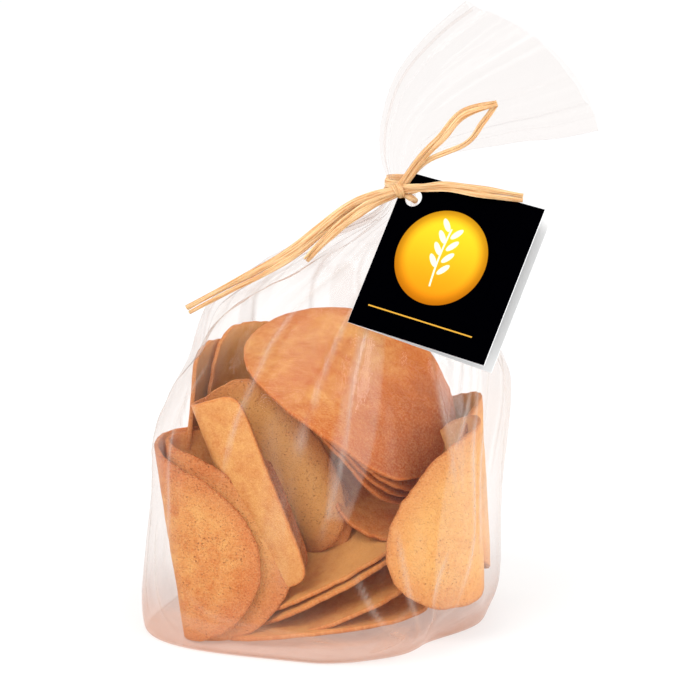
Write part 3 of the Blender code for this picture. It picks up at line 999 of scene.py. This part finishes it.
def raffiaFinish():
    finish = Finish("raffia")
    shades = raffia["colours"]
    strand = finish.attribute("strand", "Vector")
    fibre = finish.noise(strand.stretch((6.0, 0.10, 1.0)), 1.0, 5.0, 0.65)
    patch = finish.noise(strand.stretch((0.8, 0.12, 1.0)), 1.0)
    straw = finish.mix(fibre.rise(0.36, 0.62), shades["dark"], shades["light"])
    straw = finish.mix((patch - 0.40) * 0.9, straw, shades["patch"])
    values = {
        "Base Color": straw, "Roughness": 0.42 + fibre * 0.2, "Normal": finish.bump(fibre, 0.00025, 0.8),
        "Subsurface Weight": 0.1, "Subsurface Scale": 0.001,
    }
    return finish.show(finish.principled(values))


# a strip's rows from its stops at the knot
def fromKnot(stops):
    rows = []
    for side, out, up, width, turn in stops:
        point = knotMiddle + sideways * side + outward * out + upward * up
        rows.append((*point, width, turn))
    return rows


# two narrow strands side by side, a little apart at the end
def twinRows(rows, seed):
    rows = np.array(rows, float)
    line = np.gradient(rows[:, :3], axis=0)
    across = np.cross(line / np.linalg.norm(line, axis=1, keepdims=True), outward)
    share = np.linspace(0, 1, len(rows))
    found = []
    for side in (-1, 1):
        strand = rows.copy()
        apart = side * rows[:, 3] * (0.20 + 0.12 * share**3 + 0.05 * np.sin(seed * 3 + share * 7))
        strand[:, :3] += across * apart[:, None] + np.outer(side * 0.4 * np.sin(share * 5 + seed), outward)
        strand[:, 3] = rows[:, 3] * (0.60 + 0.10 * side * math.sin(seed * 2.1))
        strand[:, 4] += 0.35 * side * np.sin(share * 4 + seed)
        found.append(strand)
    return found


def makeTie(material):
    for seed, (name, stops) in enumerate(raffia["strips"].items()):
        for k, rows in enumerate(twinRows(fromKnot(stops), seed + 1)):
            makeRibbon("raffia_" + name + "_" + "ab"[k], rows, material, seed * 2 + k + 1)
    place = tagFrame()
    rows = [(*(place @ Vector(stop)), raffia["tagStripWidth"], 0) for stop in raffia["tagStrip"]]
    makeRibbon("raffia_tag_strip", rows, material, 31)
    makeWrap("raffia_knot", knotMiddle, sideways + 0.35 * upward, raffia["knotTurns"], material)
    return makeWrap("raffia_wrap", raffia["wrapMiddle"], upward, raffia["neckTurns"], material)


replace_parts(makeTie(raffiaFinish()), "raffia_tie")
print("raffia tie made")


# black card with a gold roundel, sprig and rule in front, and white card inside
def tagFinish():
    finish = Finish("printed card")
    shades = tag["colours"]
    place = tagFrame()
    right, back, up = (Vector(place.col[k][:3]) for k in range(3))
    corner = Vector(tag["corner"]) * mm
    point = finish.node("ShaderNodeTexCoord", None, None, "Object")
    normal = finish.node("ShaderNodeNewGeometry", None, None, "True Normal")

    def along(vector, axis, start=0.0):
        dot = finish.node("ShaderNodeVectorMath", {"operation": "DOT_PRODUCT"}, {0: vector, 1: axis}, "Value")
        return dot - start

    x = along(point, right, corner.dot(right)) * 1000
    z = along(point, up, corner.dot(up)) * 1000
    depth = along(point, back, corner.dot(back)) * 1000
    front = (-along(normal, back)).rise(0.55, 0.75) * (1 - depth.rise(0.12, 0.18))
    rear = along(normal, back).rise(0.9, 0.95)
    radius = tag["radius"]
    dx, dz = x - tag["roundel"][0], z - tag["roundel"][1]
    away = (dx * dx + dz * dz) ** 0.5
    disc = 1 - away.rise(radius - 0.15, radius + 0.05)
    gold = finish.mix((-dz).rise(-15, 15), *shades["gold"])
    gold = finish.mix(away.rise(radius - 4.5, radius) * 0.75, gold, shades["goldEdge"])
    speckle = finish.noise(point, 900.0)
    ink = finish.mix(speckle * 0.5, *shades["ink"])
    printed = finish.mix(disc, ink, gold)
    sprig = 1 - abs(dx - dz * dz * 0.006 + 0.6).rise(0.22, 0.34)
    sprig = sprig * (1 - abs(dz).rise(tag["stem"], tag["stem"] + 0.4))
    leafOut, leafUp = tag["leafOut"]
    wideSquare, longSquare = tag["leafSquares"]
    for k in range(tag["leaves"]):
        rise, side = tag["firstLeaf"] + tag["leafStep"] * k, 1 - 2 * (k % 2)
        tilt = math.radians(tag["leafLean"] * side)
        ex, ez = dx - side * leafOut, dz - rise - leafUp
        across = ex * math.cos(tilt) - ez * math.sin(tilt)
        length = ex * math.sin(tilt) + ez * math.cos(tilt)
        leaf = (across * across) * (1 / wideSquare) + (length * length) * (1 / longSquare)
        sprig = sprig.most(1 - leaf.rise(0.85, 1.1))
    printed = finish.mix(sprig, printed, shades["sprig"])
    (ruleX, ruleZ), (ruleLong, ruleThick) = tag["rule"], tag["ruleHalf"]
    rule = 1 - abs(z - ruleZ).rise(ruleThick, ruleThick + 0.1)
    rule = rule * (1 - abs(x - ruleX).rise(ruleLong, ruleLong + 0.2))
    printed = finish.mix(rule, printed, shades["rule"])
    plain = finish.mix(finish.noise(point, 1500.0) * 0.4, *shades["card"])
    shown = finish.mix(front, finish.mix(rear, plain, ink), printed)
    grain = finish.bump(finish.noise(point, 2600.0, 2.0), 0.00004, 0.5)
    values = {
        "Base Color": shown, "Roughness": 0.42 + speckle * 0.08,
        "Normal": grain, "Specular IOR Level": 0.0,
    }
    return finish.show(finish.principled(values))


tagMaterial = tagFinish()
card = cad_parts["tag"]
card.data.materials.clear()
card.data.materials.append(tagMaterial)
print("tag finished")


# floor, world and lights
studio = {
    "floorSize": 40.0, "floorShade": (190, 190, 190), "floorGlow": 0.45, "world": 0.68,
    # far lights: heading and height in degrees, strength, spread in degrees
    "far": {"key": (-24, 42, 1.36, 36), "fill": (22, 40, 0.66, 50)},
    # near lights: place, where it points, size across and up, power
    "near": {
        "right": ((1.1, 0.05, 0.50), (0, 0, 0.08), 0.8, 0.9, 8.5),
        "left": ((-1.1, -0.1, 0.45), (0, 0, 0.08), 0.7, 0.9, 3.5),
    },
}


def putLight(name, lamp, spot, aim):
    light = bpy.data.objects.new(name, lamp)
    light.location = spot
    light.rotation_euler = (Vector(aim) - Vector(spot)).to_track_quat("-Z", "Y").to_euler()
    bpy.context.scene.collection.objects.link(light)


def makeStudio():
    half = studio["floorSize"] / 2
    corners = [(-half, -half, 0), (half, -half, 0), (half, half, 0), (-half, half, 0)]
    mesh = bpy.data.meshes.new("floor")
    mesh.from_pydata(corners, [], [(0, 1, 2, 3)])
    floor = bpy.data.objects.new("floor", mesh)
    bpy.context.scene.collection.objects.link(floor)
    finish = Finish("floor white")
    values = {
        "Base Color": colour(studio["floorShade"]), "Roughness": 0.8, "Specular IOR Level": 0.2,
        "Emission Color": colour((255, 255, 255)), "Emission Strength": studio["floorGlow"],
    }
    mesh.materials.append(finish.show(finish.principled(values)))
    world = bpy.data.worlds.new("studio")
    world.use_nodes = True
    background = world.node_tree.nodes["Background"]
    background.inputs["Color"].default_value = (1, 1, 1, 1)
    background.inputs["Strength"].default_value = studio["world"]
    bpy.context.scene.world = world
    for name, (heading, height, strength, spread) in studio["far"].items():
        lamp = bpy.data.lights.new(name, "SUN")
        lamp.energy = strength
        lamp.angle = math.radians(spread)
        putLight(name, lamp, wayTo(heading, height), (0, 0, 0))
    for name, (spot, aim, wide, tall, power) in studio["near"].items():
        lamp = bpy.data.lights.new(name, "AREA")
        lamp.shape = "RECTANGLE"
        lamp.size = wide
        lamp.size_y = tall
        lamp.energy = power
        putLight(name, lamp, spot, aim)
    bpy.context.scene.view_settings.view_transform = "Standard"


makeStudio()
print("studio lit")
